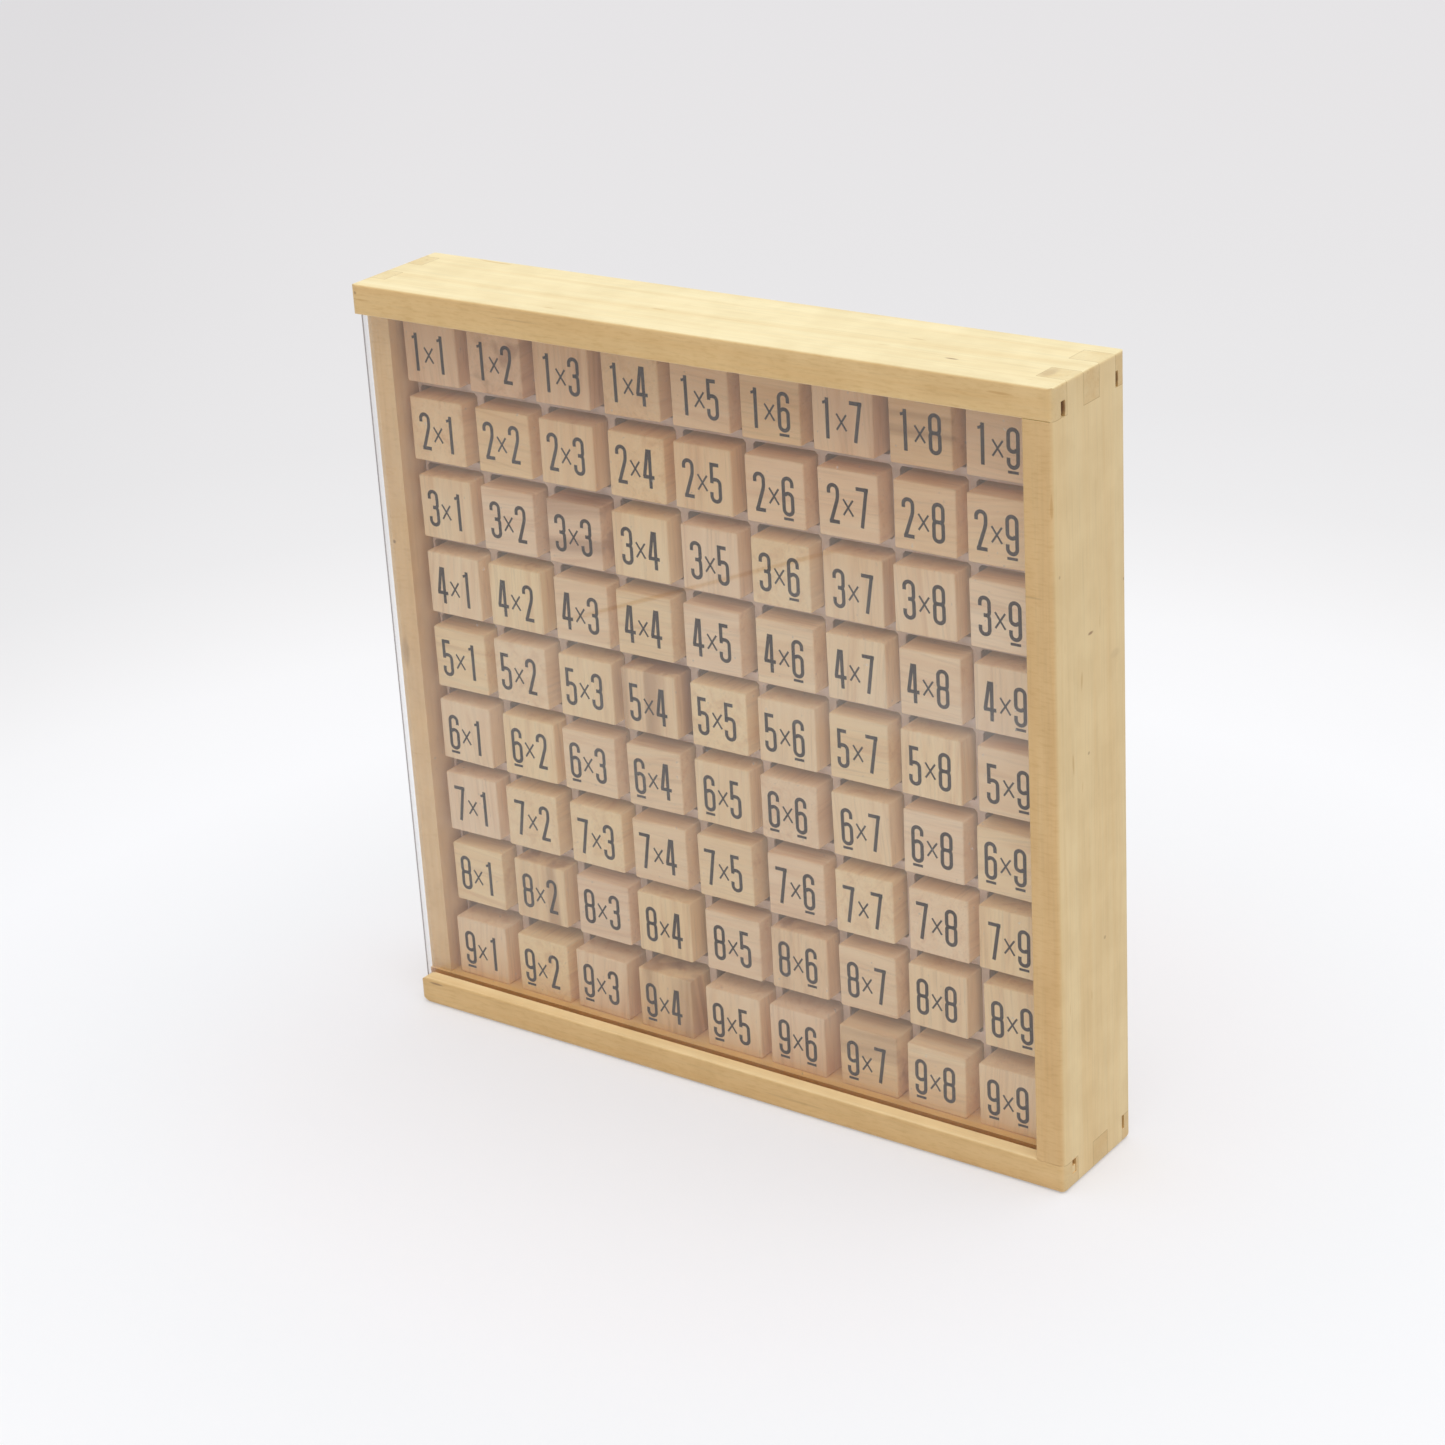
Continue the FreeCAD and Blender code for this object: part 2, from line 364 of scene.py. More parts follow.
def mark(tree, place, middle, reach):
    """1 inside an ellipsoid and 0 outside it. Both vectors are in millimetres."""
    stretch = [1 / (half * MM) for half in reach]
    shift = [-centre * MM * factor for centre, factor in zip(middle, stretch)]
    length = add(tree, "ShaderNodeVectorMath", operation="LENGTH")
    join(tree, scaled(tree, place.outputs["Object"], stretch, shift), length.inputs[0])
    return slope(tree, length.outputs["Value"], MARK_RIM, MARK_HEART)


# %% [markdown]
# The finish of one board is put together here: the grain first, then the tints one after another,
# and the marks on top.

# %% Finish of one board
def floor_of_the_box(tree, facing, where):
    """Where the bottom board looks up, and the tint it has there."""
    share = reckon(tree, "MULTIPLY", slope(tree, facing["Z"], 0.5, 0.95),
                   slope(tree, where["Z"], FOOT_FROM, FOOT_TO))
    behind_lip = reckon(tree, "GREATER_THAN", where["Y"], LIP_BACK)
    before_panel = reckon(tree, "LESS_THAN", where["Y"], PANEL_FRONT)
    in_the_box = reckon(tree, "MULTIPLY", behind_lip, before_panel)
    return share, mixed(tree, in_the_box, LIP_TONE, BOUNCE_TONE)


def board_wood(board, along, shift, marks_and_shade):
    """Bare wood for one board, whose fibres run along one axis: 0 for X, 2 for Z."""
    material, tree, shader = start_finish(board + "_wood")
    place = add(tree, "ShaderNodeTexCoord")
    facing = split(tree, place.outputs["Normal"])
    where = split(tree, place.outputs["Object"])
    colour, height = board_grain(tree, place, along, shift)
    end_cut = slope(tree, reckon(tree, "ABSOLUTE", facing[along]), 0.6, 0.95)
    sideways = slope(tree, reckon(tree, "ABSOLUTE", facing["X"]), 0.5, 0.9)
    front_edge = slope(tree, reckon(tree, "MULTIPLY", facing["Y"], -1.0), 0.4, 0.95)
    outside_top = reckon(tree, "MULTIPLY", slope(tree, facing["Z"], 0.35, 0.9),
                         slope(tree, where["Z"], HEAD_FROM, HEAD_TO))
    # The tints by facing and the groove's tint are painted light and shade; the end grain, the saw marks
    # and the glue lines are the wood's own.
    tints = [(end_cut, END_TONE), (sideways, SIDE_SHADE_TONES.get(board, SIDE_SHADE_TONE)),
             (front_edge, FRONT_SHADE_TONES[board]), (front_edge, saw_marks(tree, place)),
             (outside_top, PAINTED_TOP_HIGHLIGHT), floor_of_the_box(tree, facing, where),
             (lid_groove(tree, where), GROOVE_SHADE_TONE),
             (glue_lines(tree, where, along, end_cut), GLUE_TONE)]
    for share, tint in tints:
        colour = tinted(tree, share, colour, tint)
    for middle, reach, darkness in marks_and_shade:
        share = reckon(tree, "MULTIPLY", mark(tree, place, middle, reach), darkness)
        colour = mixed(tree, share, colour, MARK_AND_SHADE_TONE)
    join(tree, colour, shader.inputs["Base Color"])
    shader.inputs["Roughness"].default_value = 0.55
    shader.inputs["Specular IOR Level"].default_value = 0.35
    relief(tree, shader, height, distance=0.12 * MM, strength=0.4)
    return material


# %% [markdown]
# Now the marks are set down, board by board, in millimetres, and the four boards get their finish.
# Each board takes its grain from another part of the noise.

# %% Dress the boards
def dress(node_name, material):
    """Puts one finish on every slot of a frame node."""
    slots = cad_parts[node_name].data.materials
    slots.clear()
    slots.append(material)
    print(node_name, "has the finish", material.name)


# The last two marks of the top board, at its right end, are painted shade inside the holes where the
# grooves run out.
TOP_MARKS_AND_HOLE_SHADE = [((62.2, -5.9, 180), (1.6, 0.35, 0.6), 0.75), ((-88, 10.9, 180), (0.5, 0.5, 0.5), 0.3),
             ((-86, -2.8, 180), (0.9, 0.5, 0.5), 0.2), ((-88, -14.5, 178), (0.5, 0.8, 0.4), 0.6),
             ((-42.7, -14.5, 177.2), (6.8, 1, 0.22), 0.2), ((89.2, -9.9, 174.9), (1.1, 1.0, 2.1), 1.0),
             ((89.4, 11.1, 174.7), (1.0, 0.8, 2.0), 0.8)]
BOTTOM_MARKS = [((-84.2, -14.5, 6.0), (2.2, 1, 0.3), 0.7), ((20, -14.5, 3.4), (9, 1, 0.3), 0.2)]
RIGHT_MARKS = [((90, -0.6, 124.5), (1, 1.1, 0.35), 0.8), ((90, -12.6, 140.5), (1, 0.4, 0.4), 0.4),
               ((90, 13.2, 131.6), (1, 0.35, 0.35), 0.5), ((90, 9.3, 116.6), (1, 2.0, 1.1), 0.12),
               ((90, -1.9, 98.5), (1, 0.45, 0.4), 0.5), ((90, 3.9, 53.7), (1, 0.5, 0.45), 0.45),
               ((84.5, -14.5, 136), (3, 1, 0.25), 0.25), ((84.2, -5.4, 180), (1.7, 3.2, 2), 0.3)]
LEFT_MARKS = [((-88.6, -8.9, 117.3), (0.5, 0.8, 0.5), 0.7), ((-88.5, -8.9, 90), (1.2, 1, 4), 0.35)]
BOARDS = [("top_board", 0, (0.3, 1.1, 0.2), TOP_MARKS_AND_HOLE_SHADE),
          ("bottom_board", 0, (4.7, 2.3, 8.1), BOTTOM_MARKS),
          ("right_board", 2, (7.9, 5.2, 1.4), RIGHT_MARKS),
          ("left_board", 2, (2.6, 9.3, 3.8), LEFT_MARKS)]
for board, along, shift, marks_and_shade in BOARDS:
    dress(board, board_wood(board, along, shift, marks_and_shade))

# %% [markdown]
# The lid's groove runs out through the closed side. At the foot its end was stopped with a chip of the
# same wood, set a little below the surface, so only the upper half of the hole is still open.

# %% Chip in the groove's end
CHIP_LOW = Vector((88.4, -11.1, 3.6)) * MM
CHIP_HIGH = Vector((89.85, -9.5, 5.4)) * MM
CHIP_ROUND = 0.15 * MM

bpy.ops.object.select_all(action="DESELECT")
bpy.ops.mesh.primitive_cube_add(size=1, location=(0, 0, 0))
chip = bpy.context.object
chip.name = "groove_chip"
bpy.ops.object.mode_set(mode="EDIT")
bpy.ops.mesh.select_all(action="SELECT")
bpy.ops.transform.resize(value=CHIP_HIGH - CHIP_LOW)
bpy.ops.transform.translate(value=(CHIP_LOW + CHIP_HIGH) / 2)
bpy.ops.mesh.bevel(offset=CHIP_ROUND, segments=2, affect="EDGES")
bpy.ops.object.mode_set(mode="OBJECT")
chip.data.materials.append(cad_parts["right_board"].data.materials[0])
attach(chip, "box")
print("the chip is", [round(v / MM, 2) for v in chip.dimensions], "mm")

# %% [markdown]
# The back panel is a thin sheet of plywood. It is plainer and greyer than the boards, with long,
# open grain, and it is what shows dimly behind the clear tray.

# %% Back panel
PANEL_PALE = (0.82, 0.65, 0.46)
PANEL_DEEP = (0.70, 0.52, 0.34)
PORE_SHADE = grey(0.72)
VEINS_PER_METRE = (380, 380, 9)
PORES_PER_METRE = (2400, 2400, 120)


def panel_wood():
    material, tree, shader = start_finish("panel_plywood")
    place = add(tree, "ShaderNodeTexCoord")
    veins = noise(tree, scaled(tree, place.outputs["Object"], VEINS_PER_METRE), detail=5,
                  roughness=0.6, distortion=0.5)
    pores = noise(tree, scaled(tree, place.outputs["Object"], PORES_PER_METRE), detail=2)
    colour = ramp(tree, veins, (0.3, PANEL_DEEP), (0.65, PANEL_PALE))
    open_grain = ramp(tree, pores, (0.3, PORE_SHADE), (0.48, grey(1.0)))
    colour = mixed(tree, 0.6, colour, open_grain, "MULTIPLY")
    join(tree, colour, shader.inputs["Base Color"])
    shader.inputs["Roughness"].default_value = 0.65
    relief(tree, shader, pores, distance=0.1 * MM, strength=0.5)
    return material


dress("back_panel", panel_wood())

# %% [markdown]
# Clear sheet is drawn as a thin film: light goes straight on, a little is mirrored, and a faint haze
# of fine scratches and dust catches the light. Bending the light as thick glass does would only
# shift the picture behind a sheet this thin, and would cost a lot of time. The share that is mirrored
# is 4 percent seen straight on, and grows with the fifth power of the slant, as on all clear plastics.

# %% Clear film
SHINE_HEAD_ON = 0.04
SHEET_PASSES = (0.99, 0.99, 0.99)
SHINE_TONE = (0.95, 0.96, 0.97)


def clear_film(tree, shader, haze, passes):
    """A film that lets the colour passes straight on, clouded by the shader where haze is above 0."""
    through = tree.nodes.new("ShaderNodeBsdfTransparent")
    feed(tree, passes, through.inputs["Color"])
    cloudy = layered(tree, haze, through, shader)
    mirror = add(tree, "ShaderNodeBsdfAnisotropic", Color=(*SHINE_TONE, 1), Roughness=0.03)
    slant = add(tree, "ShaderNodeLayerWeight", Blend=0.5)
    rising = reckon(tree, "POWER", slant.outputs["Facing"], 5.0)
    shine = reckon(tree, "MULTIPLY_ADD", rising, 1.0 - SHINE_HEAD_ON, SHINE_HEAD_ON)
    glossed = layered(tree, shine, cloudy, mirror)
    join(tree, glossed.outputs[0], tree.nodes["Material Output"].inputs["Surface"])


# %% [markdown]
# The lid is a cut sheet. It has been wiped and slid many times, so it carries faint smears, long
# wiping streaks and a little dust. One thin brown line that slants across the middle is a painted
# reflection. Its cut end shows as a thin dark line along the front edge, and the last millimetre
# before the cut glows a little, because light that runs inside the sheet leaves there.

# %% Finish of the lid
LID_HAZE = (0.004, 0.028)
SMEARS_PER_METRE = 28
WIPES_PER_METRE = (7, 1, 55)
WIPES_SHIFT = (0, 0, 3)
WIPE_HAZE = 0.03
DUST_PER_METRE = 900
DUST_HAZE = 0.22
END_HAZE = (0.10, 0.85)
END_LINE_FROM = -10.3 * MM
END_LINE_TO = -10.7 * MM
END_GLOW_HAZE = 0.14
END_GLOW_FROM = -88.0 * MM
END_GLOW_TO = -88.8 * MM
HAZE_TONE = grey(0.97)
CUT_END_TONE = (0.24, 0.22, 0.26)
# painted reflection: a thin brown line slanting across the lid
REFLECTION_SLANT = math.radians(21.4)
REFLECTION_HEIGHT = 114.0 * MM
REFLECTION_HALF = 0.75 * MM
REFLECTION_CORE = 0.15 * MM
REFLECTION_REACH = (44 * MM, 26 * MM)
REFLECTION_PASSES = (0.95, 0.90, 0.83)


def painted_brown_reflection(tree, place, where):
    """1 along one slanting line across the middle of the lid, where a painted brown reflection lies."""
    off = add(tree, "ShaderNodeVectorMath", operation="DOT_PRODUCT")
    join(tree, place.outputs["Object"], off.inputs[0])
    off.inputs[1].default_value = (-math.sin(REFLECTION_SLANT), 0, math.cos(REFLECTION_SLANT))
    beside = reckon(tree, "ABSOLUTE", reckon(tree, "SUBTRACT", off.outputs["Value"], REFLECTION_HEIGHT))
    run = slope(tree, reckon(tree, "ABSOLUTE", where["X"]), *REFLECTION_REACH)
    return reckon(tree, "MULTIPLY", slope(tree, beside, REFLECTION_HALF, REFLECTION_CORE), run)


def lid_sheet():
    material, tree, shader = start_finish("lid_sheet")
    place = add(tree, "ShaderNodeTexCoord")
    facing = split(tree, place.outputs["Normal"])
    where = split(tree, place.outputs["Object"])
    smear = noise(tree, place.outputs["Object"], scale=SMEARS_PER_METRE, detail=5, roughness=0.6,
                  distortion=0.8)
    wiped = noise(tree, scaled(tree, place.outputs["Object"], WIPES_PER_METRE, WIPES_SHIFT), detail=3)
    dust = noise(tree, place.outputs["Object"], scale=DUST_PER_METRE, detail=1)
    haze = ramp(tree, smear, (0.35, grey(LID_HAZE[0])), (0.72, grey(LID_HAZE[1])))
    wipes = ramp(tree, wiped, (0.5, grey(0.0)), (0.75, grey(WIPE_HAZE)))
    specks = ramp(tree, dust, (0.765, grey(0.0)), (0.80, grey(DUST_HAZE)))
    haze = mixed(tree, 1.0, haze, wipes, "ADD")
    haze = mixed(tree, 1.0, haze, specks, "ADD")
    glow = slope(tree, where["X"], END_GLOW_FROM, END_GLOW_TO)
    haze = mixed(tree, glow, haze, grey(END_GLOW_HAZE))
    end = slope(tree, reckon(tree, "ABSOLUTE", facing["Y"]), 0.75, 0.3)
    front_line = slope(tree, where["Y"], END_LINE_FROM, END_LINE_TO)
    haze = mixed(tree, end, haze, mixed(tree, front_line, grey(END_HAZE[0]), grey(END_HAZE[1])))
    join(tree, mixed(tree, end, HAZE_TONE, CUT_END_TONE), shader.inputs["Base Color"])
    shader.inputs["Roughness"].default_value = 0.35
    # painted reflection: a brown line across the lid tints what shows through it
    passes = mixed(tree, painted_brown_reflection(tree, place, where), SHEET_PASSES, REFLECTION_PASSES)
    clear_film(tree, shader, haze, passes)
    return material


dress("sliding_lid", lid_sheet())

# %% [markdown]
# The tray was drawn down over a mould while it was warm. The crests between the cells stayed thick
# and turned milky, and the walls went thin and stayed clear. So the haze is strong where the sheet
# stands furthest forward, and faint everywhere else. The light that is scattered inside the sheet is
# a faint glow. It is too weak to light anything, so it isn't sampled as a lamp, which saves much time.

# %% Finish of the tray
CREST_FROM = -0.9 * MM
CREST_TO = -1.5 * MM
CREST_HAZE = (0.465, 0.744)
CREST_MOTTLE_PER_METRE = 160
WALL_HAZE = 0.10
CREST_TONE = (0.90, 0.70, 0.565)
WALL_TONE = (0.98, 0.78, 0.62)
WALL_GLOW = 0.05


def tray_sheet():
    material, tree, shader = start_finish("tray_sheet")
    place = add(tree, "ShaderNodeTexCoord")
    where = split(tree, place.outputs["Object"])
    crest = slope(tree, where["Y"], CREST_FROM, CREST_TO)
    mottle = noise(tree, place.outputs["Object"], scale=CREST_MOTTLE_PER_METRE, detail=3,
                   roughness=0.6)
    milky = ramp(tree, mottle, (0.3, grey(CREST_HAZE[0])), (0.7, grey(CREST_HAZE[1])))
    haze = mixed(tree, crest, grey(WALL_HAZE), milky)
    tone = mixed(tree, crest, WALL_TONE, CREST_TONE)
    join(tree, tone, shader.inputs["Base Color"])
    join(tree, tone, shader.inputs["Emission Color"])
    shader.inputs["Emission Strength"].default_value = WALL_GLOW
    material.cycles.emission_sampling = "NONE"
    shader.inputs["Roughness"].default_value = 0.4
    clear_film(tree, shader, haze, SHEET_PASSES)
    return material


dress("cell_tray", tray_sheet())

# %% [markdown]
# Every cube is sawn from a different stick, so each has grain of its own. One cube is modelled: a
# block whose twelve edges are rounded over with the bevel operator. Weighted normals keep its faces
# flat to the light, so that only the rounds shine. It is then copied 81 times. Before a copy is moved
# into place, its own coordinates are written to an attribute, shifted and turned at random, and the
# wood reads that attribute, so no two cubes look alike.

# %% One cube
CUBE_SIDE = 15.0 * MM
EDGE_ROUND = 0.42 * MM
ROWS = 9
COLUMNS = 9


def only(*chosen):
    """Selects these objects and no others, and makes the last one active."""
    bpy.ops.object.select_all(action="DESELECT")
    for item in chosen:
        item.select_set(True)
    bpy.context.view_layer.objects.active = chosen[-1]


def model_cube():
    bpy.ops.object.select_all(action="DESELECT")
    bpy.ops.mesh.primitive_cube_add(size=CUBE_SIDE, location=(0, 0, 0))
    made = bpy.context.object
    made.name = "pattern_cube"
    bpy.ops.object.mode_set(mode="EDIT")
    bpy.ops.mesh.select_all(action="SELECT")
    bpy.ops.mesh.bevel(offset=EDGE_ROUND, segments=3, affect="EDGES", profile=0.5)
    bpy.ops.object.mode_set(mode="OBJECT")
    only(made)
    bpy.ops.object.shade_smooth_by_angle(angle=math.radians(35))
    bpy.ops.object.modifier_add(type="WEIGHTED_NORMAL")
    made.modifiers[0].weight = 100
    bpy.ops.object.modifier_apply(modifier=made.modifiers[0].name)
    return made


pattern_cube = model_cube()
print("one cube has", len(pattern_cube.data.polygons), "faces")

# %% [markdown]
# The figures are tall and narrow, with round corners, and drawn with a pen of one width. Each is
# described as the pen's moves: go straight so far, or turn through an angle on a radius. The pen is a
# single edge as long as the line is wide. Extruding it draws a straight, and the spin operator draws a
# turn. The finished figure is given a hair's thickness, as ink has.

# %% The pen
PEN_WIDE = 0.84 * MM
FIGURE_WIDE = 3.05 * MM
FIGURE_HIGH = 8.85 * MM
INK_THICK = 0.03 * MM
SPIN_STEPS_PER_TURN = 40


def pen_down(x, z, heading, width):
    """Starts a stroke: one edge across the heading, in the XZ plane."""
    bpy.ops.object.select_all(action="DESELECT")
    bpy.ops.mesh.primitive_plane_add(size=1, location=(0, 0, 0))
    bpy.ops.object.mode_set(mode="EDIT")
    bpy.ops.mesh.select_all(action="SELECT")
    bpy.ops.mesh.merge(type="CENTER")
    half = Vector((-math.sin(heading), 0, math.cos(heading))) * (width / 2)
    bpy.ops.transform.translate(value=Vector((x, 0, z)) - half)
    bpy.ops.mesh.extrude_region_move(TRANSFORM_OT_translate={"value": half * 2})
    bpy.ops.mesh.select_all(action="SELECT")


def stroke(x, z, degrees, moves, width=PEN_WIDE):
    """Draws one stroke and returns it. moves are ("go", length) or ("turn", degrees, radius), with
    a turn to the left above zero and a turn to the right below."""
    heading = math.radians(degrees)
    pen_down(x, z, heading, width)
    for move in moves:
        ahead = Vector((math.cos(heading), 0, math.sin(heading)))
        if move[0] == "go":
            bpy.ops.mesh.extrude_region_move(TRANSFORM_OT_translate={"value": ahead * move[1]})
            x += ahead.x * move[1]
            z += ahead.z * move[1]
            continue
        angle = math.radians(move[1])
        toward = 1 if angle > 0 else -1
        radius = move[2]
        centre = Vector((x - ahead.z * toward * radius, 0, z + ahead.x * toward * radius))
        steps = max(2, round(abs(angle) / math.tau * SPIN_STEPS_PER_TURN))
        bpy.ops.mesh.spin(steps=steps, angle=angle, center=centre, axis=(0, 1, 0))
        heading += angle
        x = centre.x + math.sin(heading) * toward * radius
        z = centre.z - math.cos(heading) * toward * radius
    bpy.ops.object.mode_set(mode="OBJECT")
    return bpy.context.object


# %% [markdown]
# Now the nine figures and the times sign. Sizes are those of the pen's middle line, so a figure is
# one pen's width smaller than it looks. W and H are the width and the height that all figures share.

# %% The figures 1 to 5
W = FIGURE_WIDE - PEN_WIDE
H = FIGURE_HIGH - PEN_WIDE
BOWL = W / 2
WAIST = 4.2 * MM
PINCH = 0.75 * MM


def one():
    stem = 1.3 * MM
    return [stroke(stem, -PEN_WIDE / 2, 90, [("go", FIGURE_HIGH)]),
            stroke(0.2 * MM, H - 0.75 * MM, 8, [("turn", 25, 2.0 * MM), ("go", 0.25 * MM)],
                   0.62 * MM)]


def two():
    lean = 19
    drop = 1.0 * MM
    bend = 4.0 * MM
    knee = Vector((W - bend * (1 - math.cos(math.radians(lean))),
                   H - BOWL - drop - bend * math.sin(math.radians(lean))))
    run = knee.y / math.cos(math.radians(lean))
    foot = knee.x - run * math.sin(math.radians(lean))
    return [stroke(0, H - BOWL - 0.75 * MM, 90, [("go", 0.75 * MM), ("turn", -180, BOWL),
                                                 ("go", drop), ("turn", -lean, bend),
                                                 ("go", run)]),
            stroke(foot - PEN_WIDE / 2, 0, 0, [("go", W - foot + PEN_WIDE / 2 + 0.3 * MM)])]


def three():
    upper = [("go", 0.75 * MM), ("turn", -180, BOWL), ("go", H - BOWL - WAIST - PINCH),
             ("turn", -90, PINCH), ("go", W - PINCH - 0.85 * MM)]
    lower = [("go", W - PINCH - 0.85 * MM), ("turn", -90, PINCH), ("go", WAIST - PINCH - BOWL),
             ("turn", -180, BOWL), ("go", 0.8 * MM)]
    return [stroke(0, H - BOWL - 0.75 * MM, 90, upper), stroke(0.85 * MM, WAIST, 0, lower)]


def four():
    stem = 1.55 * MM
    cross = 2.15 * MM
    apex = 1.15 * MM
    rise = FIGURE_HIGH - cross
    lean = math.degrees(math.atan2(rise, apex))
    return [stroke(stem, -PEN_WIDE / 2, 90, [("go", FIGURE_HIGH)]),
            stroke(-0.05 * MM, cross, lean, [("go", math.hypot(rise, apex) - 0.45 * MM)]),
            stroke(-0.37 * MM, cross, 0, [("go", 2.95 * MM)])]


def five():
    shelf = 4.95 * MM
    return [stroke(0, shelf - 1.15 * MM, 90, [("go", H - shelf + 1.15 * MM + PEN_WIDE / 2)]),
            stroke(-PEN_WIDE / 2, H, 0, [("go", W + 0.1 * MM)]),
            stroke(0.1 * MM, shelf - 0.55 * MM, 55, [("turn", -55, 0.75 * MM),
                                                      ("go", W - 2.0 * MM + 0.15 * MM),
                                                      ("turn", -90, 1.0 * MM),
                                                      ("go", shelf - 1.0 * MM - BOWL),
                                                      ("turn", -180, BOWL), ("go", 0.9 * MM)])]


# %% [markdown]
# A 9 is a 6 turned upside down, so both are drawn with the same moves, and each has a bar under it
# that shows which way up the cube is. The times sign is two thin straight strokes.

# %% The figures 6 to 9 and the times sign
TAIL = 0.85 * MM
LOOP = 4.75 * MM
TIMES_WIDE = 2.4 * MM
TIMES_HIGH = 3.5 * MM
TIMES_PEN = 0.44 * MM
BAR_THICK = 0.6 * MM
BAR_GAP = 0.32 * MM
AROUND = [("go", TAIL), ("turn", 180, BOWL), ("go", H - 2 * BOWL), ("turn", 180, BOWL),
          ("go", LOOP - 2 * BOWL), ("turn", 150, BOWL * 0.93)]


def six():
    return [stroke(W, H - BOWL - TAIL, 90, AROUND)]


def seven():
    shift = 1.35 * MM
    downward = math.degrees(math.atan2(-FIGURE_HIGH, -shift))
    return [stroke(-PEN_WIDE / 2, H, 0, [("go", W + PEN_WIDE)]),
            stroke(W, H + PEN_WIDE / 2, downward, [("go", math.hypot(FIGURE_HIGH, shift))])]


def eight():
    waist_run = W - 2 * PINCH
    upper = [("go", waist_run), ("turn", 90, PINCH), ("go", H - BOWL - WAIST - PINCH),
             ("turn", 180, BOWL), ("go", H - BOWL - WAIST - PINCH), ("turn", 90, PINCH)]
    lower = [("go", waist_run), ("turn", -90, PINCH), ("go", WAIST - PINCH - BOWL),
             ("turn", -180, BOWL), ("go", WAIST - PINCH - BOWL), ("turn", -90, PINCH)]
    return [stroke(PINCH, WAIST, 0, upper), stroke(PINCH, WAIST, 0, lower)]


def nine():
    return [stroke(0, BOWL + TAIL, 270, AROUND)]


def times():
    lean = math.atan2(TIMES_HIGH, TIMES_WIDE)
    length = math.hypot(TIMES_HIGH, TIMES_WIDE)
    return [stroke(0, 0, math.degrees(lean), [("go", length)], TIMES_PEN),
            stroke(0, TIMES_HIGH, -math.degrees(lean), [("go", length)], TIMES_PEN)]


def bar():
    drop = PEN_WIDE / 2 + BAR_GAP + BAR_THICK / 2
    return [stroke(-0.15 * MM, -drop, 0, [("go", W + 0.25 * MM)], BAR_THICK)]


# %% [markdown]
# The strokes of a figure are joined to one object and extruded by the thickness of the ink. The bar
# of a 6 and of a 9 is joined with it.

# %% From strokes to ink
def ink(name, strokes):
    """Joins the strokes of one figure and gives them the thickness of ink."""
    only(*strokes)
    bpy.ops.object.join()
    made = bpy.context.object
    made.name = name
    bpy.ops.object.mode_set(mode="EDIT")
    bpy.ops.mesh.select_all(action="SELECT")
    bpy.ops.mesh.remove_doubles(threshold=0.001 * MM)
    bpy.ops.mesh.extrude_region_move(TRANSFORM_OT_translate={"value": (0, -INK_THICK, 0)})
    bpy.ops.mesh.select_all(action="SELECT")
    bpy.ops.mesh.normals_make_consistent(inside=False)
    bpy.ops.object.mode_set(mode="OBJECT")
    return made


drawn = {1: one(), 2: two(), 3: three(), 4: four(), 5: five(), 6: six() + bar(), 7: seven(),
         8: eight(), 9: nine() + bar()}
figures = {number: ink("figure_" + str(number), strokes) for number, strokes in drawn.items()}
times_sign = ink("figure_times", times())
print("the pen drew", len(figures), "figures and a times sign")

# %% [markdown]
# The cubes stand where the frame has them. Each rests on the lower wall of its cell, has slid a
# little to one side, and is turned very slightly, because it is loose.

# %% Where the cubes stand
row_box = {row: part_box("cubes_row_" + str(row)) for row in range(1, ROWS + 1)}
SLIDE_REACH = 0.5 * MM
SLIDE_TURN = 1.86
COLUMN_PITCH = 18.4 * MM
TILT_REACH = math.radians(0.9)
INK_LIFT = 0.005 * MM
FIGURE_LEFT = 2.1 * MM + PEN_WIDE / 2
FIGURE_RIGHT = 9.35 * MM + PEN_WIDE / 2
FIGURE_FOOT = 2.9 * MM + PEN_WIDE / 2
TIMES_LEFT = 6.1 * MM
TIMES_FOOT = 5.1 * MM
PRINT_WANDER = 0.32 * MM


def slide(row, column):
    """How far one cube has slid from the middle of its cell, the same as in the frame."""
    return SLIDE_REACH * math.sin(SLIDE_TURN * (COLUMNS * row + column) ** 2)


def cube_corner(row, column):
    """The lower left front corner of one cube."""
    low = row_box[row][0]
    first_left = low.x - slide(row, 1)
    return Vector((first_left + (column - 1) * COLUMN_PITCH + slide(row, column), low.y, low.z))


print("cube 5×5 has its corner at", [round(v / MM, 2) for v in cube_corner(5, 5)], "mm")

# %% [markdown]
# The cubes' wood is the same kind as the boards', a shade pinker. A second attribute gives each cube
# a tone of its own, and a few cubes are clearly darker or have a brown streak, as a maker's offcuts
# do. Noise that is read at a very coarse scale hardly changes within one cube, so it serves to make
# some cubes sandy and others rosy. The two top rows lie in the shade of the top board, and the bottom
# row stands on the bottom board. There the light has come off wood and is warmer, so a last tint goes
# by the height in the box, given in millimetres. The cubes' sides catch a faint glow from the tray's
# walls, which isn't sampled as a lamp either.

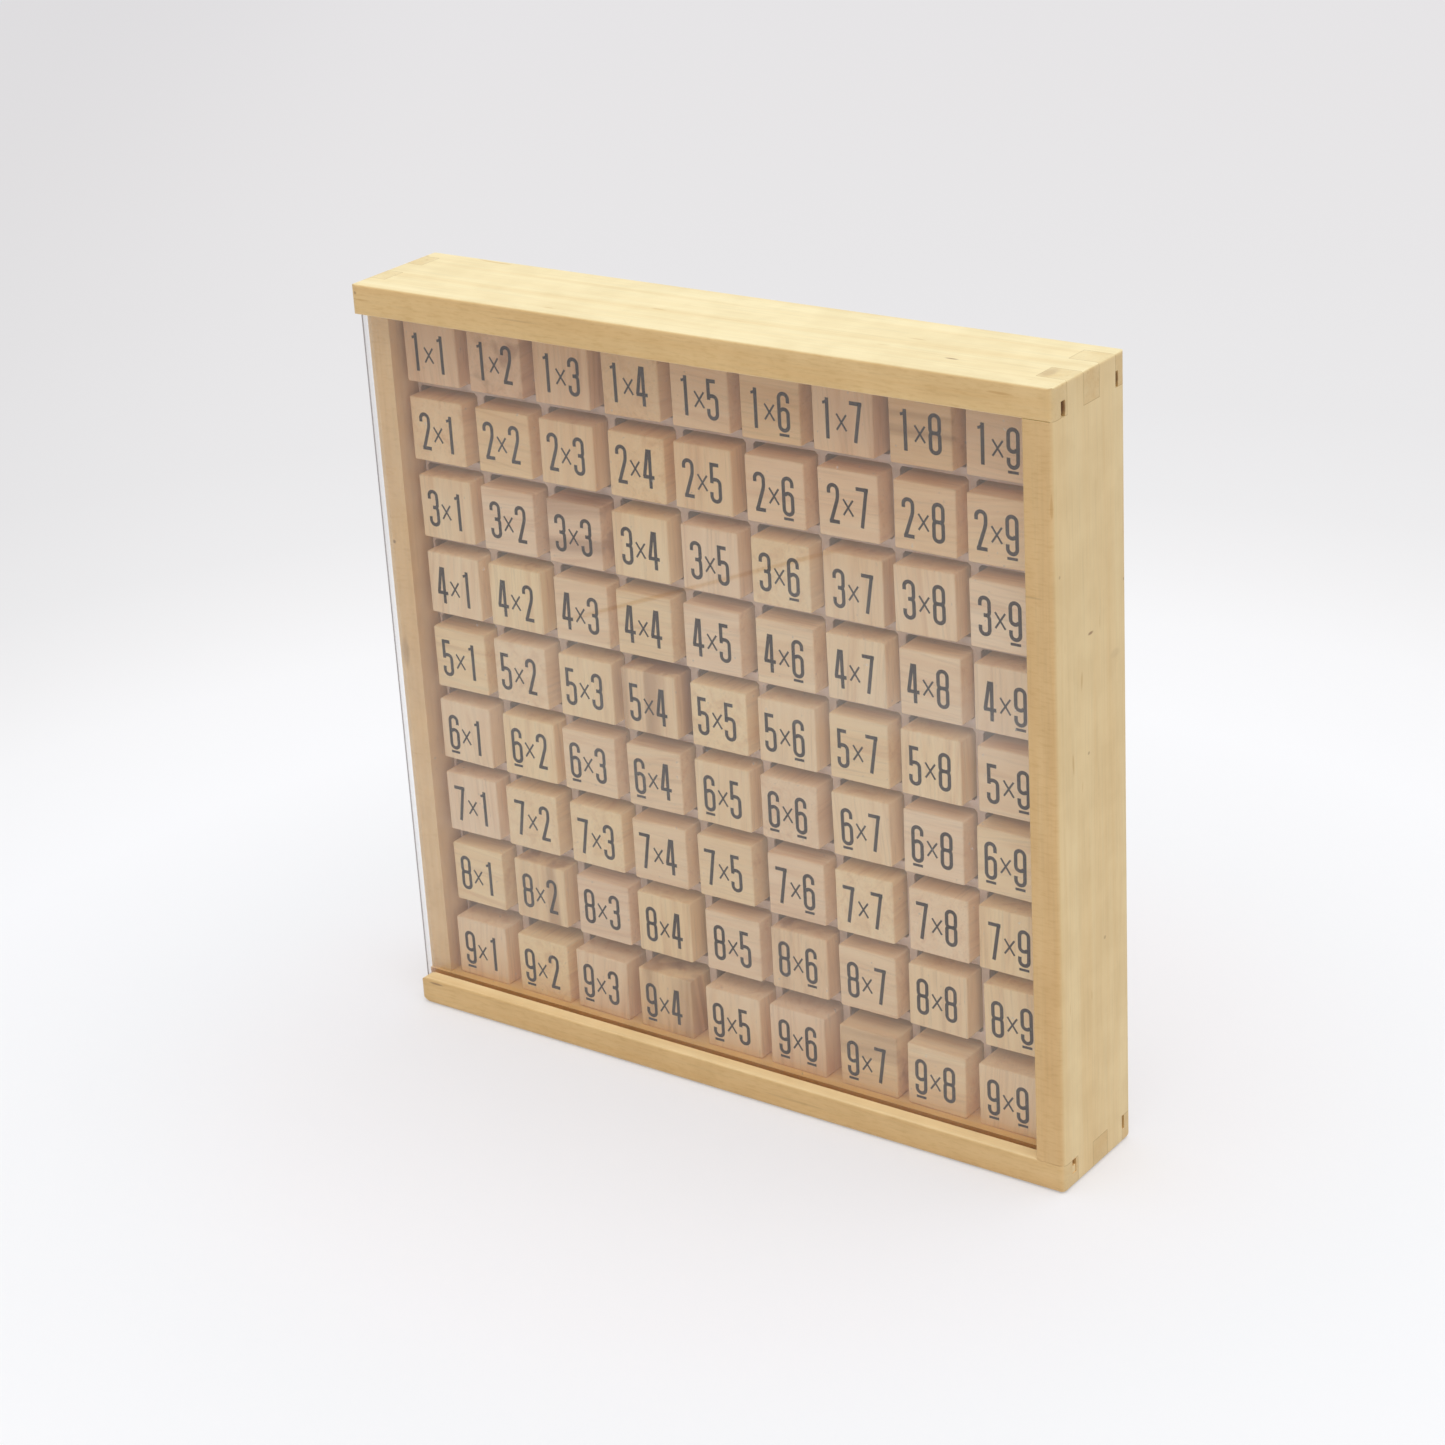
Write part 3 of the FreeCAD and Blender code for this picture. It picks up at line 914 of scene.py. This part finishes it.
# %% Wood of the cubes
CUBE_PALE = (0.955, 0.765, 0.50)
CUBE_MID = (0.925, 0.71, 0.447)
CUBE_DEEP = (0.84, 0.60, 0.36)
BOX_HEIGHT = 180
HEIGHT_TONES = [(7, (1.0, 0.90, 0.78)), (14, (1.0, 0.97, 0.92)), (22, (1, 1, 1)), (128, (1, 1, 1)),
                (139, (0.97, 0.91, 0.83)), (155, (0.93, 0.83, 0.74)), (173, (0.78, 0.68, 0.58))]
SIDE_GLOW = 0.03
CUBE_RINGS_PER_METRE = (25, 300, 300)
CUBE_FIBRES_PER_METRE = (70, 1900, 1900)
CUBE_STREAKS_PER_METRE = (6, 160, 160)
CUBE_FIBRE_SHADE = grey(0.78)
CUBE_STREAK = (0.46, 0.26, 0.14)
DARKER = (0.93, 0.89, 0.88)
DARKEST = (0.82, 0.75, 0.75)
SANDY = (1.0, 0.965, 0.87)
ROSY = (0.98, 0.94, 0.97)
CUBE_HUES_PER_METRE = 4


def cube_wood():
    material, tree, shader = start_finish("cube_wood")
    grain = add(tree, "ShaderNodeAttribute", attribute_name="own_grain")
    tone = add(tree, "ShaderNodeAttribute", attribute_name="own_tone")
    rings = noise(tree, scaled(tree, grain.outputs["Vector"], CUBE_RINGS_PER_METRE), detail=4,
                  roughness=0.5, distortion=0.9)
    fibres = noise(tree, scaled(tree, grain.outputs["Vector"], CUBE_FIBRES_PER_METRE), detail=3)
    streaks = noise(tree, scaled(tree, grain.outputs["Vector"], CUBE_STREAKS_PER_METRE), detail=2,
                    distortion=0.4)
    colour = ramp(tree, rings, (0.28, CUBE_DEEP), (0.45, CUBE_MID), (0.66, CUBE_PALE))
    fibre_shade = ramp(tree, fibres, (0.3, CUBE_FIBRE_SHADE), (0.5, grey(1.0)))
    colour = mixed(tree, 0.5, colour, fibre_shade, "MULTIPLY")
    streaked = slope(tree, reckon(tree, "ADD", streaks, tone.outputs["Fac"]), 0.92, 1.12)
    colour = mixed(tree, reckon(tree, "MULTIPLY", streaked, 0.6), colour, CUBE_STREAK)
    shade = ramp(tree, tone.outputs["Fac"], (0.0, grey(1.0)), (0.55, DARKER), (1.0, DARKEST))
    colour = mixed(tree, 1.0, colour, shade, "MULTIPLY")
    hue = noise(tree, grain.outputs["Vector"], scale=CUBE_HUES_PER_METRE, detail=0)
    colour = mixed(tree, 1.0, colour, ramp(tree, hue, (0.35, SANDY), (0.65, ROSY)), "MULTIPLY")
    place = add(tree, "ShaderNodeTexCoord")
    where = split(tree, place.outputs["Object"])
    facing = split(tree, place.outputs["Normal"])
    up_the_box = reckon(tree, "DIVIDE", where["Z"], BOX_HEIGHT * MM)
    stops = [(height / BOX_HEIGHT, tint) for height, tint in HEIGHT_TONES]
    colour = mixed(tree, 1.0, colour, ramp(tree, up_the_box, *stops), "MULTIPLY")
    aside = slope(tree, reckon(tree, "ABSOLUTE", facing["Y"]), 0.7, 0.2)
    join(tree, colour, shader.inputs["Base Color"])
    join(tree, colour, shader.inputs["Emission Color"])
    join(tree, reckon(tree, "MULTIPLY", aside, SIDE_GLOW), shader.inputs["Emission Strength"])
    material.cycles.emission_sampling = "NONE"
    shader.inputs["Roughness"].default_value = 0.6
    shader.inputs["Specular IOR Level"].default_value = 0.3
    relief(tree, shader, fibres, distance=0.08 * MM, strength=0.4)
    return material


# %% [markdown]
# The print is a matt ink, a dark grey with a little brown in it. It has soaked into the wood
# unevenly, so it is a little paler in places.

# %% Ink
INK_DARK = (0.052, 0.036, 0.028)
INK_PALE = (0.110, 0.078, 0.060)
INK_WEAR_PER_METRE = 2600


def ink_finish():
    material, tree, shader = start_finish("printing_ink")
    place = add(tree, "ShaderNodeTexCoord")
    worn = noise(tree, place.outputs["Object"], scale=INK_WEAR_PER_METRE, detail=3,
                 roughness=0.7)
    colour = ramp(tree, worn, (0.35, INK_DARK), (0.75, INK_PALE))
    join(tree, colour, shader.inputs["Base Color"])
    shader.inputs["Specular IOR Level"].default_value = 0.2
    shader.inputs["Roughness"].default_value = 0.8
    return material


# %% [markdown]
# Copies are made from the pattern cube and the figures. A copy gets its own mesh, its grain is
# written, it is turned about its middle, and then it is moved into place in its mesh. The nine
# cubes of a row are joined, because the frame holds each row as one piece.

# %% Fill the box
random.seed(81)
wood_of_cubes = cube_wood()
ink_of_figures = ink_finish()
DARK_CUBES = {(1, 2): 0.42, (3, 3): 0.48, (9, 4): 0.46, (8, 6): 0.42, (9, 7): 0.44, (5, 4): 0.52,
              (4, 4): 0.35, (6, 6): 0.35, (8, 2): 0.42, (8, 3): 0.35, (1, 8): 0.42, (3, 7): 0.4}
PLAIN_TONE_MOST = 0.28
CROSS_CUT_SHARE = 0.3
GRAIN_SLANT = 0.12
TILT_SPREAD = 0.35
YAW_SPREAD = 0.4


def copy_of(pattern, name):
    made = pattern.copy()
    made.data = pattern.data.copy()
    made.name = name
    bpy.context.collection.objects.link(made)
    return made


def write_grain(item, tone):
    """Writes where each point lies in the stick that this cube was sawn from."""
    quarter = Matrix.Rotation(random.choice((0, 1, 2, 3)) * math.pi / 2, 4, "Y")
    if random.random() < CROSS_CUT_SHARE:
        quarter = quarter @ Matrix.Rotation(math.pi / 2, 4, "Z")
    shift = Vector([random.uniform(-1, 1) for _ in range(3)])
    slant = Matrix.Rotation(random.uniform(-GRAIN_SLANT, GRAIN_SLANT), 4, "Y")
    item.data.attributes.new("own_grain", "FLOAT_VECTOR", "POINT")
    item.data.attributes.new("own_tone", "FLOAT", "POINT")
    grain = item.data.attributes["own_grain"]
    own = item.data.attributes["own_tone"]
    for vertex in item.data.vertices:
        grain.data[vertex.index].vector = slant @ quarter @ vertex.co + shift
        own.data[vertex.index].value = tone


def stand_in_place(item, row, column, tilt, yaw):
    """Turns a piece about the middle of its cube and sets it in its cell."""
    middle = Vector((1, 1, 1)) * CUBE_SIDE / 2
    lift = Vector((0, 0, 1)) * abs(math.sin(tilt)) * CUBE_SIDE / 2
    turn = Matrix.Rotation(tilt, 4, "Y") @ Matrix.Rotation(yaw, 4, "Z")
    place = Matrix.Translation(cube_corner(row, column) + middle + lift)
    item.data.transform(place @ turn)


def print_on(row, column, tilt, yaw):
    """The product on one cube: two figures and the times sign, on its front face."""
    parts = []
    smudge = Vector([random.uniform(-1, 1) * PRINT_WANDER for _ in range(2)])
    layout = [(figures[row], FIGURE_LEFT, FIGURE_FOOT), (times_sign, TIMES_LEFT, TIMES_FOOT),
              (figures[column], FIGURE_RIGHT, FIGURE_FOOT)]
    for pattern, left, foot in layout:
        part = copy_of(pattern, "print_part")
        corner = Vector((left + smudge.x, -INK_LIFT, foot + smudge.y))
        part.data.transform(Matrix.Translation(corner - Vector((1, 1, 1)) * CUBE_SIDE / 2))
        stand_in_place(part, row, column, tilt, yaw)
        parts.append(part)
    return parts


def joined(parts, name, material):
    only(*parts)
    bpy.ops.object.join()
    made = bpy.context.object
    made.name = name
    made.data.materials.clear()
    made.data.materials.append(material)
    return made


for row in range(1, ROWS + 1):
    cubes = []
    prints = []
    for column in range(1, COLUMNS + 1):
        tilt = random.gauss(0, TILT_SPREAD) * TILT_REACH
        yaw = random.gauss(0, YAW_SPREAD) * TILT_REACH
        tone = DARK_CUBES.get((row, column), random.uniform(0, PLAIN_TONE_MOST))
        wooden = copy_of(pattern_cube, "cube_part")
        write_grain(wooden, tone)
        stand_in_place(wooden, row, column, tilt, yaw)
        cubes.append(wooden)
        prints += print_on(row, column, tilt, yaw)
    wooden_row = joined(cubes, "wooden_cubes_" + str(row), wood_of_cubes)
    printed_row = joined(prints, "printed_figures_" + str(row), ink_of_figures)
    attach(wooden_row, "box")
    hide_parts("cubes_row_" + str(row))
    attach(printed_row, "box")
    print("row", row, "has", len(wooden_row.data.polygons), "faces of wood and",
          len(printed_row.data.polygons), "of ink")

for pattern in [pattern_cube, times_sign] + list(figures.values()):
    bpy.data.objects.remove(pattern)

# %% [markdown]
# The box stands on a plain pale sheet. Its colour carries painted shade: a little darker close round
# the box, as a painted shadow, and greyer with distance, as painted fall-off of the light. Its tones
# are given by how many metres they lie from the middle of the box.

# %% Floor
FLOOR_SIDE = 30.0
FLOOR_FAR = 1.4
# painted shade: the tones dip close round the box as a painted shadow, and grow greyer far off as
# painted fall-off of the light
FLOOR_SHADE_TONES = [(0.11, (0.872, 0.866, 0.888)), (0.15, (0.872, 0.880, 0.902)),
               (0.22, (0.905, 0.91, 0.932)), (0.29, (0.885, 0.885, 0.90)),
               (0.345, (0.84, 0.835, 0.845)), (0.40, (0.80, 0.795, 0.805)), (0.50, (0.77, 0.763, 0.773)),
               (0.70, (0.755, 0.745, 0.755)), (1.0, (0.748, 0.735, 0.745)), (1.4, (0.74, 0.728, 0.742))]
TO_THE_RIGHT = (math.cos(camera_turn), math.sin(camera_turn), 0)
SHADE_FROM = -0.12
SHADE_TO = -0.38
LEFT_SHADE = 0.935
GLOW_SHARE = 0.38
GLOW_STRENGTH = 1.06


def floor_finish():
    """Paper with painted shade: darker close round the box, with distance and to the left. A part of
    what the camera sees is even light, which softens the box's shadow as the light in a photo tent does."""
    material, tree, shader = start_finish("floor_paper")
    place = add(tree, "ShaderNodeTexCoord")
    distance = add(tree, "ShaderNodeVectorMath", operation="LENGTH")
    join(tree, place.outputs["Object"], distance.inputs[0])
    how_far = reckon(tree, "DIVIDE", distance.outputs["Value"], FLOOR_FAR)
    colour = ramp(tree, how_far, *[(metres / FLOOR_FAR, tone) for metres, tone in FLOOR_SHADE_TONES])
    sideways = add(tree, "ShaderNodeVectorMath", operation="DOT_PRODUCT")
    join(tree, place.outputs["Object"], sideways.inputs[0])
    sideways.inputs[1].default_value = TO_THE_RIGHT
    shade = slope(tree, sideways.outputs["Value"], SHADE_FROM, SHADE_TO)
    colour = tinted(tree, shade, colour, grey(LEFT_SHADE))
    join(tree, colour, shader.inputs["Base Color"])
    shader.inputs["Roughness"].default_value = 0.9
    shader.inputs["Specular IOR Level"].default_value = 0.0
    glow = add(tree, "ShaderNodeEmission", Strength=GLOW_STRENGTH)
    join(tree, colour, glow.inputs["Color"])
    share = reckon(tree, "MULTIPLY", looked_at(tree), GLOW_SHARE)
    seen = layered(tree, share, shader, glow)
    join(tree, seen.outputs[0], tree.nodes["Material Output"].inputs["Surface"])
    return material


bpy.ops.object.select_all(action="DESELECT")
bpy.ops.mesh.primitive_plane_add(size=FLOOR_SIDE, location=(0, 0, 0))
floor = bpy.context.object
floor.name = "floor"
floor.data.materials.append(floor_finish())

# %% [markdown]
# The light is that of a white photo tent: the same from all round, with a broad soft lamp overhead
# and a little to the right. What the camera, and anything glossy, sees of the surroundings is the
# pale grey of the tent, which adds no light to the wood.

# %% Light
TENT_LIGHT = 0.46
TENT_GREY = (0.755, 0.75, 0.755)
LAMP_STRENGTH = 1.95
LAMP_SOFTNESS = math.radians(70)
LAMP_LEAN = (math.radians(4), math.radians(9), 0)

world = bpy.data.worlds.new("photo_tent")
bpy.context.scene.world = world
world.use_nodes = True
sky = world.node_tree
light_from_all_round = sky.nodes["Background"]
light_from_all_round.inputs["Color"].default_value = (1, 1, 1, 1)
light_from_all_round.inputs["Strength"].default_value = TENT_LIGHT
seen = add(sky, "ShaderNodeBackground", Color=(*TENT_GREY, 1), Strength=1.0)
choice = layered(sky, looked_at(sky), light_from_all_round, seen)
join(sky, choice.outputs[0], sky.nodes["World Output"].inputs["Surface"])

lamp_data = bpy.data.lights.new("overhead_lamp", "SUN")
lamp_data.energy = LAMP_STRENGTH
lamp_data.angle = LAMP_SOFTNESS
lamp = bpy.data.objects.new("overhead_lamp", lamp_data)
lamp.rotation_euler = LAMP_LEAN
bpy.context.collection.objects.link(lamp)
